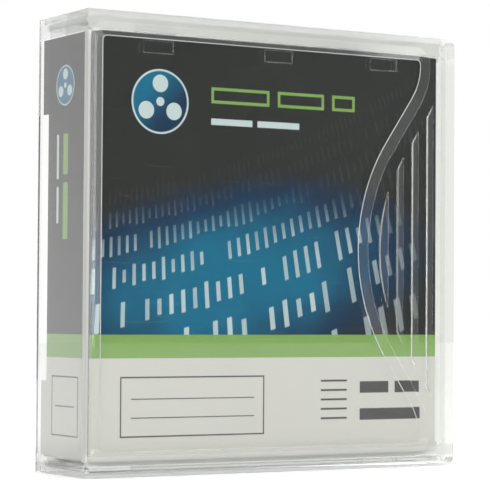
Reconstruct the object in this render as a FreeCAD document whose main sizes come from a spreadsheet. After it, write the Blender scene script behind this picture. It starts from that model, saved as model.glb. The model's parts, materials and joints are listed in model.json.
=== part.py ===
# A data tape cartridge in its clear hinged storage case, standing on its long bottom edge.
# X runs to the right along the case's front, Y to the back and Z up. The origin is the middle
# of the bottom. The cover carries the front, the spine and a printed inlay card, and turns on
# two pins at the back left. The base carries the back and the right-hand wall, and the
# cartridge stands in it with its rear edge down and its reel's axis along Y.
import FreeCAD, Part
import math
import operator
import os
from types import SimpleNamespace

import Sketcher
from FreeCAD import Placement, Rotation, Vector

SIZES = {
    # the closed case
    "case_w": 109.5, "case_d": 28.0, "case_h": 113.5, "corner_r": 2.3,
    "front_t": 1.2, "spine_t": 1.5, "wall_t": 1.3, "back_t": 1.5, "side_t": 1.5,
    "lip_t": 1.75, "lip_deep": 4.5, "slack": 0.2, "past": 3.0,
    # raised panel of the cover, with its waisted right-hand edge
    "panel_rise": 0.7, "panel_bevel": 3.5, "panel_side": 3.65, "panel_end": 6.3,
    "panel_right": 11.6, "panel_corner": 1.3, "waist_deep": 19.6, "shoulder_r": 16.0, "flank": 14.6,
    # wedge-shaped grip ridges beside the panel, from the right
    "ridge_count": 4.0, "ridge_gap": 3.5, "ridge_inset": 21.35, "ridge_pitch": 4.77, "ridge_w": 2.05,
    "ridge_wide": 3.1, "ridge_high": 0.5, "ridge_end": 12.0,
    # rails inside the cover that hold the card, from its sides, and the marks they leave in front
    "rail_left": 13.75, "rail_right": 4.75, "rail_t": 0.7, "rail_deep": 5.0, "tab_deep": 8.5,
    "slot_left": 29.55, "slot_right": 17.55, "slot_w": 1.1, "mark_deep": 0.15, "mark_t": 0.5,
    "tab_one": 18.95, "tab_two": -1.05, "tab_w": 8.2,
    # hinge, nested walls and catches of the case
    "hinge_inset": 4.0, "pin_r": 1.2, "pin_long": 1.6, "pin_fit": 0.05, "ear_r": 2.2, "swing_gap": 0.35,
    "nest_gap": 0.25, "nest_t": 1.5, "nest_front": 0.3, "edge_r": 0.6,
    "catch_high": 0.11, "catch_w": 8.0, "catch_t": 1.0, "catch_gap": 0.5,
    # card
    "card_t": 0.3, "card_gap": 0.1, "spine_gap": 0.15, "card_space": 1.05, "card_low": 4.0, "card_top": 5.3,
    "card_right": 5.55, "card_edge": 4.4, "tuck": 3.0, "tuck_low": 23.0, "tuck_high": 24.0, "fold_r": 0.45,
    # rests inside the base
    "pad_rise": 1.6, "pad_w": 5.4, "pad_inset": 11.0, "boss_gap": 0.7, "boss_t": 1.4, "boss_long": 2.6,
    "rib_t": 1.2, "rib_play": 0.25, "rib_front": 8.0, "rib_low": 25.0, "rib_high": 31.8, "rib_at": 27.4,
    # the play of the cartridge in the case, and its shell
    "side_play": 3.45, "top_play": 2.0, "rail_play": 0.3, "cart_corner": 2.5, "cart_edge": 0.8,
    "skin": 1.6, "shell_t": 1.5, "label_gap": 1.0, "label_edge": 3.0, "label_inset": 2.25, "label_deep": 0.3,
    "screw_inset": 5.0, "screw_shift": 18.8, "screw_edge": 3.4, "screw_block": 5.0, "screw_head_r": 1.8,
    "screw_head": 1.4, "screw_sunk": 0.1, "grip_w": 1.2, "grip_deep": 0.5, "grip_pitch": 3.0,
    "grip_edge": 1.5, "grip_count": 6.0, "grip_low": 12.0,
    # reel, with its play in the shell
    "reel_gap": 0.9, "reel_play": 1.65, "lead_zone": 3.4, "flange_t": 1.2, "flange_rise": 3.0,
    "flange_lip": 1.6, "tape_gap": 0.1, "hub_r": 22.0, "hub_t": 2.2, "web_t": 1.9,
    "hub_hole_r": 18.5, "rim_t": 2.0, "rim_gap": 0.1, "eye_r": 4.6, "plate_t": 0.9, "plate_gap": 1.4,
    "teeth_count": 36.0, "tooth_gap": 0.9, "tooth_long": 3.0, "tooth_high": 0.8, "tooth_half": 2.9,
    # brake
    "key_count": 24.0, "key_in": 8.4, "key_out": 12.0, "key_high": 0.9, "key_half": 3.3,
    "button_play": 1.8, "button_t": 1.2, "button_rise": 1.8, "sleeve_r": 6.5, "sleeve_long": 4.3,
    "post_w": 7.0, "post_t": 1.4, "post_fit": 0.12, "post_gap": 0.45, "lift": 2.0,
    "spring_r": 9.0, "spring_wire": 0.5, "leg_w": 1.8, "leg_gap": 2.9, "leg_fit": 0.2, "leg_count": 3.0,
    "ring_gap": 1.0, "ring_t": 1.3, "ring_play": 0.2,
    # leader pin and door
    "pin_inset": 8.0, "lead_r": 1.5, "lead_flange_r": 2.5, "lead_flange_t": 1.0, "lead_play": 0.1,
    "clip_t": 0.45, "leader_t": 0.15, "seat_t": 1.1, "seat_high": 1.2,
    "leaf_t": 0.3, "leaf_play": 0.2, "leaf_low": 5.0, "leaf_notch": 3.5,
    "door_t": 1.0, "door_gap": 0.2, "door_h": 14.4, "door_top": 2.8, "door_lap": 0.8, "door_travel": 12.5,
    "guide_high": 2.75, "groove_at": 0.8, "groove_w": 1.2, "groove_deep": 0.5,
    "lug_t": 1.2, "lug_w": 3.4, "coil_r": 1.1, "coil_wire": 0.36, "coil_long": 21.0,
    # write-protect tab and memory chip
    "guard_w": 6.4, "guard_t": 1.5, "guard_nub": 4.0, "guard_travel": 5.0, "guard_at": 10.4,
    "guard_deep": 1.8,
    "chip_w": 8.0, "chip_t": 0.8, "chip_h": 9.0, "chip_gap": 3.8, "chip_fit": 0.1,
    "holder_t": 1.0, "holder_low": 3.0,
}
TINY = 1e-6


class Size:
    """A length or angle: its number, and the spreadsheet expression that drives it."""

    def __init__(self, value, text):
        self.value = value
        self.text = text

    def __add__(self, other):
        return merged(self, "+", other)

    def __radd__(self, other):
        return merged(other, "+", self)

    def __sub__(self, other):
        return merged(self, "-", other)

    def __rsub__(self, other):
        return merged(other, "-", self)

    def __mul__(self, other):
        return merged(self, "*", other)

    def __rmul__(self, other):
        return merged(other, "*", self)

    def __truediv__(self, other):
        return merged(self, "/", other)

    def __neg__(self):
        return merged(0, "-", self)


SIGNS = {"+": operator.add, "-": operator.sub, "*": operator.mul, "/": operator.truediv}


def as_size(number):
    return number if isinstance(number, Size) else Size(float(number), f"({float(number)})")


def merged(first, sign, second):
    first, second = as_size(first), as_size(second)
    return Size(SIGNS[sign](first.value, second.value), f"({first.text} {sign} {second.text})")


def degrees(angle):
    return Size(as_size(angle).value, f"({as_size(angle).text} * 1 deg)")


def sine(angle):
    return Size(math.sin(math.radians(angle.value)), f"sin({angle.text})")


def cosine(angle):
    return Size(math.cos(math.radians(angle.value)), f"cos({angle.text})")


def arc_sine(ratio):
    return Size(math.degrees(math.asin(ratio.value)), f"asin({ratio.text})")


def arc_tangent(ratio):
    return Size(math.degrees(math.atan(ratio.value)), f"atan({ratio.text})")


def root(square):
    return Size(math.sqrt(square.value), f"sqrt({square.text})")


def smaller(first, second):
    return Size(min(first.value, second.value), f"min({first.text}; {second.text})")


# ---------------------------------------------------------------- document helpers

doc = FreeCAD.newDocument("TapeCartridge")
sheet = doc.addObject("Spreadsheet::Sheet", "Sizes")
for row, (alias, number) in enumerate(SIZES.items(), start=1):
    sheet.set(f"A{row}", alias)
    sheet.set(f"B{row}", str(number))
    sheet.setAlias(f"B{row}", alias)
doc.recompute()
dim = SimpleNamespace(**{alias: Size(number, f"Sizes.{alias}") for alias, number in SIZES.items()})
nodes = []


def bind(thing, **properties):
    """Bind properties to expressions; a double underscore stands for the dot in a path."""
    for path, size in properties.items():
        thing.setExpression(path.replace("__", "."), as_size(size).text)


def new_body(label):
    body = doc.addObject("PartDesign::Body", label)
    body.Label = label
    nodes.append(body)
    return body


class Drawing:
    """A sketch on one of a body's origin planes, with every point and radius bound to the sheet."""

    def __init__(self, body, plane, shift=(0, 0, 0), turned=0):
        self.sketch = body.newObject("Sketcher::SketchObject", "Sketch")
        face = next(item for item in body.Origin.OriginFeatures if item.Role == plane)
        self.sketch.AttachmentSupport = [(face, "")]
        self.sketch.MapMode = "FlatFace"
        self.sketch.AttachmentOffset = Placement(Vector(), Rotation(Vector(0, 0, 1), turned))
        for letter, size in zip("xyz", shift):
            bind(self.sketch, **{f"AttachmentOffset__Base__{letter}": size})

    def fix(self, kind, geometry, point, size):
        """Hold a point's X or Y, or a radius, at a size."""
        numbers = (geometry, point, size.value) if point else (geometry, size.value)
        index = self.sketch.addConstraint(Sketcher.Constraint(kind, *numbers))
        self.sketch.setExpression(f"Constraints[{index}]", size.text)

    def circle(self, x, y, radius):
        x, y, radius = as_size(x), as_size(y), as_size(radius)
        round_edge = Part.Circle(Vector(x.value, y.value), Vector(0, 0, 1), radius.value)
        index = self.sketch.addGeometry(round_edge)
        self.fix("Radius", index, 0, radius)
        self.fix("DistanceX", index, 3, x)
        self.fix("DistanceY", index, 3, y)
        return self

    def outline(self, stops):
        """Close a loop through stops: (x, y), with (centre x, centre y, radius, turn) for an arc on.

        An arc is held by its two ends and by its centre, across its chord."""
        stops = [tuple(as_size(number) for number in stop) for stop in stops]
        ends = []
        for here, there in zip(stops, stops[1:] + stops[:1]):
            start = Vector(here[0].value, here[1].value)
            end = Vector(there[0].value, there[1].value)
            if len(here) == 2:
                index = self.sketch.addGeometry(Part.LineSegment(start, end))
                ends.append((index, 1, 2, None, None))
                continue
            centre = Vector(here[2].value, here[3].value)
            angles = [math.atan2(point.y - centre.y, point.x - centre.x) for point in (start, end)]
            left_turn = here[5].value > 0
            if not left_turn:
                angles.reverse()
            circle = Part.Circle(centre, Vector(0, 0, 1), here[4].value)
            index = self.sketch.addGeometry(Part.ArcOfCircle(circle, *angles))
            upright = abs(end.x - start.x) < abs(end.y - start.y)
            held = ("DistanceX", here[2]) if upright else ("DistanceY", here[3])
            ends.append((index, 1, 2, *held) if left_turn else (index, 2, 1, *held))
        joints = [
            Sketcher.Constraint("Coincident", here[0], here[2], there[0], there[1])
            for here, there in zip(ends, ends[1:] + ends[:1])
        ]
        self.sketch.addConstraint(joints)
        for (index, start, _, kind, centre), stop in zip(ends, stops):
            self.fix("DistanceX", index, start, stop[0])
            self.fix("DistanceY", index, start, stop[1])
            if kind:
                self.fix(kind, index, 3, centre)
        return self

    def box(self, x0, x1, y0, y1, radii=(0, 0, 0, 0)):
        """A rectangle; radii are those of its corners, from the lower left round to the left."""
        stops = []
        corners = ((x0, y0, 1, 1), (x1, y0, -1, 1), (x1, y1, -1, -1), (x0, y1, 1, -1))
        for (x, y, inward_x, inward_y), r in zip(corners, radii):
            if not as_size(r).value:
                stops.append((x, y))
                continue
            before, after = (x, y + inward_y * r), (x + inward_x * r, y)
            if inward_x * inward_y < 0:
                before, after = after, before
            stops.append(before + (x + inward_x * r, y + inward_y * r, r, 1))
            stops.append(after)
        return self.outline(stops)

    def wedge(self, inner, outer, half, middle=0):
        """A tooth between two radii, half the given angle wide each way from its middle."""
        low, high = degrees(as_size(middle) - half), degrees(as_size(middle) + half)
        places = ((inner, low), (outer, low), (outer, high), (inner, high))
        return self.outline([(r * cosine(angle), r * sine(angle)) for r, angle in places])


def add_feature(body, kind, profile, **properties):
    """Add a feature, and make sure that it really adds or cuts something."""
    before = body.Shape.Volume if not body.Shape.isNull() else 0.0
    feature = body.newObject(f"PartDesign::{kind}", kind)
    if profile:
        feature.Profile = profile.sketch
    bind(feature, **properties)
    return feature, before


def settle(body, feature, before):
    doc.recompute()
    after = body.Shape.Volume
    if abs(after - before) < TINY * after:
        raise ValueError(f"{body.Label}: {feature.Name} changes nothing")
    return feature


def extrude(body, plane, low, high, draw, cut=False, shift=(0, 0), turned=0):
    """Pad or pocket a drawing between two places along its plane's axis."""
    low, high = as_size(low), as_size(high)
    facing = -1 if plane == "XZ_Plane" else 1
    start = low if (facing > 0) != cut else high
    drawing = Drawing(body, plane, (*shift, start * facing), turned)
    draw(drawing)
    feature, before = add_feature(body, "Pocket" if cut else "Pad", drawing, Length=high - low)
    return settle(body, feature, before)


def cut(body, plane, low, high, draw, **options):
    return extrude(body, plane, low, high, draw, cut=True, **options)


def spin(body, x, z, stops, groove=False):
    """Turn a profile of (Y, radius) stops about the axis along Y at (x, z)."""
    drawing = Drawing(body, "YZ_Plane", (0, z, x)).outline(stops)
    feature, before = add_feature(body, "Groove" if groove else "Revolution", drawing)
    feature.ReferenceAxis = (drawing.sketch, ["H_Axis"])
    feature.Angle = 360
    return settle(body, feature, before)


def polar(body, original, count):
    """Repeat a feature round the normal of its own sketch."""
    feature, before = add_feature(body, "PolarPattern", None, Occurrences=count)
    feature.Originals = [original]
    feature.Axis = (original.Profile[0], ["N_Axis"])
    feature.Angle = 360
    body.Tip = feature
    return settle(body, feature, before)


def row_of(body, original, axis, pitch, count):
    """Repeat a feature in a row along one axis of its own sketch."""
    feature, before = add_feature(
        body, "LinearPattern", None, Length=pitch * (count - 1), Occurrences=count
    )
    feature.Originals = [original]
    feature.Direction = (original.Profile[0], [axis])
    body.Tip = feature
    return settle(body, feature, before)


def mirrored(body, originals, plane, place):
    """Mirror features in a plane parallel to an origin plane."""
    datum = body.newObject("PartDesign::Plane", "Middle")
    face = next(item for item in body.Origin.OriginFeatures if item.Role == plane)
    datum.AttachmentSupport = [(face, "")]
    datum.MapMode = "FlatFace"
    bind(datum, AttachmentOffset__Base__z=place)
    doc.recompute()
    feature, before = add_feature(body, "Mirrored", None)
    feature.Originals = originals
    feature.MirrorPlane = (datum, [""])
    body.Tip = feature
    return settle(body, feature, before)


def chamfer(body, test, size):
    """Chamfer the edges of the body's last solid that pass a test."""
    tip = body.Tip
    names = [f"Edge{n}" for n, edge in enumerate(tip.Shape.Edges, start=1) if test(edge)]
    feature, before = add_feature(body, "Chamfer", None)
    feature.Base = (tip, names)
    bind(feature, Size=size)
    return settle(body, feature, before)


def in_order(first, second):
    """Two places, the lower one first."""
    first, second = as_size(first), as_size(second)
    return (first, second) if first.value < second.value else (second, first)


# ---------------------------------------------------------------- places shared by the pieces

left, right = -dim.case_w / 2, dim.case_w / 2
front, back = -dim.case_d / 2, dim.case_d / 2
top, middle = dim.case_h, dim.case_h / 2
plate_front = front + dim.panel_rise
plate_back = plate_front + dim.front_t
spine_in = left + dim.spine_t
lip_in = right - dim.lip_t
lip_back = front + dim.lip_deep
side_in = right - dim.side_t
back_in = back - dim.back_t
wall_in = dim.wall_t
hinge_x, hinge_y = left + dim.hinge_inset, back - dim.hinge_inset
nest_out = wall_in + dim.nest_gap
nest_in = nest_out + dim.nest_t

card_front = plate_back + dim.card_gap
card_back = card_front + dim.card_t
rail_front = card_back + dim.card_gap
rail_back = rail_front + dim.rail_t

card_right = right - dim.card_right
rail_ends = left + dim.rail_left, right - dim.rail_right
slot_left, slot_right = right - dim.slot_left, right - dim.slot_right
tab_one = left + dim.tab_one

cart_left, cart_right = spine_in + dim.card_space, side_in - dim.side_play
cart_low, cart_high = nest_in, top - nest_in - dim.top_play
cart_front, cart_back = rail_back + dim.rail_play, back_in - dim.pad_rise
cart_split = (cart_front + cart_back) / 2
skin_front, skin_back = cart_front + dim.skin, cart_back - dim.skin

reel_space = smaller(cart_right - cart_left, cart_high - cart_low - dim.lead_zone) / 2
flange_r = reel_space - dim.shell_t - dim.reel_gap
axis_x, axis_z = (cart_left + cart_right) / 2, cart_low + reel_space
flange_back = cart_back - dim.flange_rise
flange_in = flange_back - dim.flange_t
upper_out = skin_front + dim.reel_play
upper_in = upper_out + dim.flange_t
tape_front, tape_back = upper_in + dim.tape_gap, flange_in - dim.tape_gap
pack_r = flange_r - dim.flange_lip
web_in = flange_back - dim.web_t
hub_bore = dim.hub_r - dim.hub_t
tooth_out = dim.hub_hole_r - dim.tooth_gap
tooth_in = tooth_out - dim.tooth_long
seat_r = tooth_in - dim.plate_gap

button_r = hub_bore - dim.button_play
leg_at = seat_r + dim.leg_gap
foot = web_in - dim.key_high - dim.pin_fit
disc_back = foot - dim.button_rise
disc_front = disc_back - dim.button_t

pin_x, pin_z = cart_right - dim.pin_inset, cart_high - dim.pin_inset
door_out = cart_right - dim.shell_t - dim.door_gap
door_in = door_out - dim.door_t
door_high = cart_high - dim.door_top
door_low = door_high - dim.door_h
door_foot = door_low - dim.door_lap
coil_x = door_out - dim.coil_r - dim.coil_wire / 2 - dim.door_gap
spring_seat = door_foot - dim.coil_long
guard_low = cart_low + dim.shell_t + dim.door_gap
guard_left = cart_left + dim.guard_at
nub_left = guard_left + (dim.guard_w - dim.guard_nub) / 2
slot_end = nub_left + dim.guard_nub + dim.guard_travel + dim.door_gap
chip_at = flange_r + dim.chip_gap


# ---------------------------------------------------------------- case

def draw_panel(drawing, grow):
    """The raised panel's outline, grown outwards: straight left side, waisted right side.

    The waist's radius is what leaves the flank, the straight run between the arcs, at its length."""
    low, high = dim.panel_end - grow, top - dim.panel_end + grow
    side, reach = left + dim.panel_side - grow, right - dim.panel_right
    corner = dim.panel_corner + grow
    rise = middle - dim.panel_end - dim.panel_corner
    flank = dim.flank * dim.flank
    radii = (rise * rise + dim.waist_deep * dim.waist_deep - flank) / (dim.waist_deep * 2)
    waist_r = radii - dim.shoulder_r
    across = radii - dim.waist_deep
    tilt = arc_sine(radii / root(rise * rise + across * across)) - arc_tangent(across / rise)
    waist_x = reach - dim.waist_deep + waist_r
    shoulder_x = reach - dim.shoulder_r
    waist, shoulder = waist_r - grow, dim.shoulder_r + grow
    lean_x, lean_z = cosine(tilt), sine(tilt)
    drawing.outline([
        (side + corner, low),
        (reach + grow - corner, low, reach + grow - corner, low + corner, corner, 1),
        (reach + grow, low + corner, shoulder_x, middle - rise, shoulder, 1),
        (shoulder_x + shoulder * lean_x, middle - rise + shoulder * lean_z),
        (waist_x - waist * lean_x, middle - waist * lean_z, waist_x, middle, waist, -1),
        (waist_x - waist * lean_x, middle + waist * lean_z),
        (shoulder_x + shoulder * lean_x, middle + rise - shoulder * lean_z,
         shoulder_x, middle + rise, shoulder, 1),
        (reach + grow, high - corner, reach + grow - corner, high - corner, corner, 1),
        (reach + grow - corner, high),
        (side + corner, high, side + corner, high - corner, corner, 1),
        (side, high - corner),
        (side, low + corner, side + corner, low + corner, corner, 1),
    ])


def draw_ridges(drawing):
    """Wedges that stand up steeply on the left and run out to the right."""
    for n in range(round(dim.ridge_count.value)):
        edge = right - dim.ridge_inset + n * dim.ridge_pitch
        start = edge - (dim.ridge_w if n else dim.ridge_wide)
        drawing.outline([
            (start, plate_front + dim.ridge_high), (start, plate_front - dim.ridge_high),
            (edge, plate_front), (edge, plate_front + dim.ridge_high),
        ])


def draw_rails(drawing):
    """The card's upper rail with two tabs, a tongue between two slots, and a short rail."""
    rail, tab, half = top - wall_in - dim.rail_deep, top - wall_in - dim.tab_deep, dim.tab_w / 2
    root_level = top - wall_in / 2
    drawing.outline([
        (rail_ends[0], rail), (tab_one - half, rail), (tab_one - half, tab),
        (tab_one + half, tab), (tab_one + half, rail), (dim.tab_two - half, rail),
        (dim.tab_two - half, tab), (dim.tab_two + half, tab), (dim.tab_two + half, rail),
        (slot_left, rail), (slot_left, root_level), (rail_ends[0], root_level),
    ])
    drawing.box(slot_left + dim.slot_w, slot_right - dim.slot_w, tab, root_level)
    drawing.box(slot_right, rail_ends[1], rail, root_level)


def draw_marks(drawing):
    """Faint witness marks of the tabs on the panel's face."""
    low = top - wall_in - dim.tab_deep
    high = top - dim.panel_end - dim.mark_t
    for x in (tab_one, dim.tab_two, (slot_left + slot_right) / 2):
        drawing.box(x - dim.tab_w / 2, x + dim.tab_w / 2, low, high)


def make_cover():
    body = new_body("case_cover")
    right_r = (0, dim.corner_r, dim.corner_r, 0)
    extrude(body, "XZ_Plane", plate_front, back, lambda d: d.box(left, right, 0, top, right_r))
    cut(body, "XZ_Plane", plate_back, back, lambda d: d.box(spine_in, lip_in, wall_in, top - wall_in))
    cut(body, "XZ_Plane", lip_back, back,
        lambda d: d.box(lip_in, right + dim.past, -dim.past, top + dim.past))
    cut(body, "XZ_Plane", back_in - dim.slack, back,
        lambda d: d.box(spine_in, right + dim.past, -dim.past, top + dim.past))
    extrude(body, "XY_Plane", dim.ridge_end, top - dim.ridge_end, draw_ridges)
    cut(body, "XZ_Plane", front - dim.past, plate_front,
        lambda d: draw_panel(d, dim.panel_bevel + dim.ridge_gap))
    foot = Drawing(body, "XZ_Plane", (0, 0, -plate_front))
    draw_panel(foot, dim.panel_bevel)
    face = Drawing(body, "XZ_Plane", (0, 0, -front))
    draw_panel(face, as_size(0))
    feature, before = add_feature(body, "AdditiveLoft", foot)
    feature.Sections = [(face.sketch, [""])]
    feature.Ruled = True
    settle(body, feature, before)
    cut(body, "XZ_Plane", front, front + dim.mark_deep, draw_marks)
    rails = extrude(body, "XZ_Plane", rail_front, rail_back, draw_rails)
    pin = extrude(body, "XY_Plane", top - wall_in - dim.pin_long, top - wall_in / 2,
                  lambda d: d.circle(hinge_x, hinge_y, dim.pin_r))
    catch = extrude(body, "YZ_Plane", slot_right, slot_right + dim.catch_w,
                    lambda d: d.box(lip_back, lip_back + dim.catch_t,
                                    top - wall_in - dim.catch_high, top - wall_in / 2))
    mirrored(body, [rails, pin, catch], "XY_Plane", middle)


def draw_nest(drawing):
    """A nested wall's plan, with its back left corner rounded about the hinge."""
    ear = dim.ear_r
    drawing.outline([
        (hinge_x - ear, rail_back + dim.nest_front), (lip_in - dim.slack, rail_back + dim.nest_front),
        (lip_in - dim.slack, lip_back + dim.slack), (side_in + dim.side_t / 2, lip_back + dim.slack),
        (side_in + dim.side_t / 2, back_in + dim.back_t / 2),
        (hinge_x + dim.hinge_inset + dim.swing_gap, back_in + dim.back_t / 2),
        (hinge_x + dim.hinge_inset + dim.swing_gap, hinge_y + ear),
        (hinge_x, hinge_y + ear, hinge_x, hinge_y, ear, 1), (hinge_x - ear, hinge_y),
    ])


def draw_rests(drawing):
    """Ribs that stop the cartridge from the right and from above."""
    reach = cart_right + dim.rib_play
    for level in (dim.rib_low, top - dim.rib_high):
        drawing.box(reach, side_in + dim.side_t / 2, level, level + dim.rib_t)
    for place in (-dim.rib_at, dim.rib_at):
        drawing.box(place - dim.rib_t / 2, place + dim.rib_t / 2,
                    cart_high + dim.rib_play, top - nest_out - dim.nest_t / 2)


def make_base():
    body = new_body("case_base")
    plate_left = hinge_x + dim.hinge_inset + dim.swing_gap
    right_r = (0, dim.corner_r, dim.corner_r, 0)
    extrude(body, "XZ_Plane", lip_back + dim.slack, back,
            lambda d: d.box(plate_left, right, 0, top, right_r))
    cut(body, "XZ_Plane", front, back_in,
        lambda d: d.box(plate_left - dim.past, side_in, -dim.past, top + dim.past))
    chamfer(body, lambda edge: all(abs(v.Y - back.value) < TINY for v in edge.Vertexes)
            and edge.BoundBox.XMax > plate_left.value + TINY, dim.edge_r)
    wall = extrude(body, "XY_Plane", nest_out, nest_in, draw_nest)
    catch_front = lip_back + dim.catch_t + dim.catch_gap
    catch = extrude(body, "YZ_Plane", slot_right, slot_right + dim.catch_w,
                    lambda d: d.box(catch_front, catch_front + dim.catch_t,
                                    nest_out - dim.catch_high, nest_out + dim.nest_t / 2))
    mirrored(body, [wall, catch], "XY_Plane", middle)
    cut(body, "XY_Plane", 0, top, lambda d: d.circle(hinge_x, hinge_y, dim.pin_r + dim.pin_fit))
    inset, half = dim.pad_inset, dim.pad_w / 2
    pads = [(x, z) for x in (cart_left + inset, cart_right - inset)
            for z in (cart_low + inset, cart_high - inset)]
    extrude(body, "XZ_Plane", cart_back, back_in + dim.back_t / 2,
            lambda d: [d.box(x - half, x + half, z - half, z + half) for x, z in pads])
    boss_r = dim.hub_hole_r - dim.boss_gap
    extrude(body, "XZ_Plane", back_in - dim.boss_long, back_in + dim.back_t / 2,
            lambda d: d.circle(axis_x, axis_z, boss_r).circle(axis_x, axis_z, boss_r - dim.boss_t))
    extrude(body, "XZ_Plane", front + dim.rib_front, back_in + dim.back_t / 2, draw_rests)


def draw_card(drawing):
    """The folded card's plan: a front panel and a spine panel, with a small round fold."""
    x, y, r = spine_in + dim.spine_gap, card_front, dim.fold_r
    t, end = dim.card_t, back - dim.card_edge + dim.tuck
    drawing.outline([
        (x + r, y), (card_right, y), (card_right, y + t),
        (x + r, y + t, x + r, y + r, r - t, -1), (x + t, y + r), (x + t, end),
        (x, end), (x, y + r, x + r, y + r, r, 1),
    ])


def make_card():
    body = new_body("inlay_card")
    extrude(body, "XY_Plane", dim.card_low, top - dim.card_top, draw_card)
    edge = back - dim.card_edge
    cut(body, "YZ_Plane", left, spine_in + dim.past,
        lambda d: d.box(edge, back + dim.past, dim.tuck_low, top - dim.tuck_high))


# ---------------------------------------------------------------- cartridge shells

def screw_places():
    inset = dim.screw_inset
    low, high = cart_low + inset, cart_high - inset
    return [(cart_left + inset, low), (cart_right - inset, low), (cart_left + inset, high),
            (cart_right - dim.screw_shift, cart_high - dim.screw_edge)]


def make_shell(label, outer, inner):
    """What both halves of the shell share, between an outer face and the split."""
    body = new_body(label)
    r, t = dim.cart_corner, dim.shell_t
    facing = 1 if outer.value < inner.value else -1
    extrude(body, "XZ_Plane", *in_order(outer, cart_split),
            lambda d: d.box(cart_left, cart_right, cart_low, cart_high, (r, r, r, r)))
    chamfer(body, lambda edge: all(abs(v.Y - outer.value) < TINY for v in edge.Vertexes), dim.cart_edge)
    cut(body, "XZ_Plane", *in_order(inner, cart_split),
        lambda d: d.box(cart_left + t, cart_right - t, cart_low + t, cart_high - t, (r - t,) * 4))
    half = dim.screw_block / 2
    extrude(body, "XZ_Plane", *in_order(inner, cart_split),
            lambda d: [d.box(x - half, x + half, z - half, z + half) for x, z in screw_places()])
    cut(body, "YZ_Plane", door_out - dim.door_t / 2, cart_right + dim.past,
        lambda d: d.box(*in_order(inner, cart_split), door_low, door_high))
    extrude(body, "XZ_Plane", *in_order(inner, inner + facing * dim.guide_high),
            lambda d: d.box(door_in - dim.door_gap - dim.rib_t, door_in - dim.door_gap,
                            door_foot - dim.door_travel, door_low))
    cup = dim.lead_flange_r + dim.lead_play
    extrude(body, "XZ_Plane", *in_order(inner, inner + facing * dim.seat_high), lambda d: d.outline([
        (pin_x + cup, pin_z - cup - dim.seat_t), (pin_x + cup, pin_z - cup),
        (pin_x, pin_z - cup, pin_x, pin_z, cup, -1),
        (pin_x, pin_z + cup), (pin_x + cup, pin_z + cup), (pin_x + cup, pin_z + cup + dim.seat_t),
        (pin_x, pin_z + cup + dim.seat_t, pin_x, pin_z, cup + dim.seat_t, 1),
        (pin_x, pin_z - cup - dim.seat_t),
    ]))
    low = cart_low + dim.grip_low
    for start, end in ((cart_left - dim.past, cart_left + dim.grip_deep),
                       (cart_right - dim.grip_deep, cart_right + dim.past)):
        groove = cut(body, "XZ_Plane", *in_order(outer + facing * dim.grip_edge, cart_split),
                     lambda d: d.box(start, end, low, low + dim.grip_w))
        row_of(body, groove, "V_Axis", dim.grip_pitch, dim.grip_count)
    cut(body, "XY_Plane", cart_low - dim.past, cart_low + dim.label_deep,
        lambda d: d.box(slot_end + dim.label_gap, cart_right - dim.label_edge,
                        *in_order(outer + facing * dim.label_inset, cart_split)))
    return body


def make_upper_shell():
    """The half with the brake's keyed post, in front."""
    body = make_shell("shell_upper", cart_front, skin_front)
    half, thin = dim.post_w / 2, dim.post_t / 2
    for wide, tall in ((half, thin), (thin, half)):
        extrude(body, "XZ_Plane", skin_front - dim.skin / 2, disc_front - dim.lift - dim.post_gap,
                lambda d: d.box(-wide, wide, -tall, tall), shift=(axis_x, axis_z))
    return body


def make_lower_shell():
    """The half with the hub opening, the screws, the write-protect slot and the chip's holder."""
    body = make_shell("shell_lower", cart_back, skin_back)
    hole = dim.hub_hole_r
    extrude(body, "XZ_Plane", flange_back + dim.rim_gap, skin_back,
            lambda d: d.circle(axis_x, axis_z, hole + dim.rim_t).circle(axis_x, axis_z, hole))
    cut(body, "XZ_Plane", flange_back, cart_back, lambda d: d.circle(axis_x, axis_z, hole))
    cut(body, "XZ_Plane", cart_back - dim.screw_sunk - dim.screw_head, cart_back,
        lambda d: [d.circle(x, z, dim.screw_head_r + dim.pin_fit) for x, z in screw_places()])
    gap, keeper = dim.door_gap, guard_low + dim.guard_t + dim.door_gap
    cut(body, "XY_Plane", cart_low - dim.past, cart_low + dim.shell_t,
        lambda d: d.box(nub_left - gap, slot_end,
                        cart_split + dim.guard_deep - gap, skin_back - dim.guard_deep + gap))
    extrude(body, "XZ_Plane", skin_back - dim.guard_deep, skin_back,
            lambda d: d.box(guard_left, guard_left + dim.guard_w + dim.guard_travel,
                            keeper, keeper + dim.rib_t))
    deep, wide, rim = dim.chip_t / 2 + dim.chip_fit, dim.chip_w / 2 + dim.chip_fit, dim.holder_t
    extrude(body, "XZ_Plane", cart_split + dim.holder_low, skin_back,
            lambda d: d.box(-wide - rim, wide + rim, -chip_at - deep - rim, -chip_at + deep + rim)
                       .box(-wide, wide, -chip_at - deep, -chip_at + deep),
            shift=(axis_x, axis_z), turned=-45)
    extrude(body, "XZ_Plane", cart_split, skin_back,
            lambda d: d.box(coil_x - dim.coil_r, cart_right - dim.shell_t / 2,
                            spring_seat - dim.lug_t, spring_seat))
    return body


def make_screws():
    """The heads of the four screws that hold the halves together, sunk in the back."""
    heads = []
    for x, z in screw_places():
        head = doc.addObject("Part::Cylinder", "Head")
        head.Placement = Placement(Vector(), Rotation(Vector(1, 0, 0), 90))
        bind(head, Radius=dim.screw_head_r, Height=dim.screw_head, Placement__Base__x=x,
             Placement__Base__y=cart_back - dim.screw_sunk, Placement__Base__z=z)
        heads.append(head)
    group = doc.addObject("Part::Compound", "shell_screws")
    group.Label = "shell_screws"
    group.Links = heads
    nodes.append(group)


# ---------------------------------------------------------------- reel and brake

def draw_leg(drawing, fit):
    """The square section of the release pad's first leg, or of its hole in the hub."""
    half = dim.leg_w / 2 + fit
    drawing.box(leg_at - half, leg_at + half, -half, half)


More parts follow.
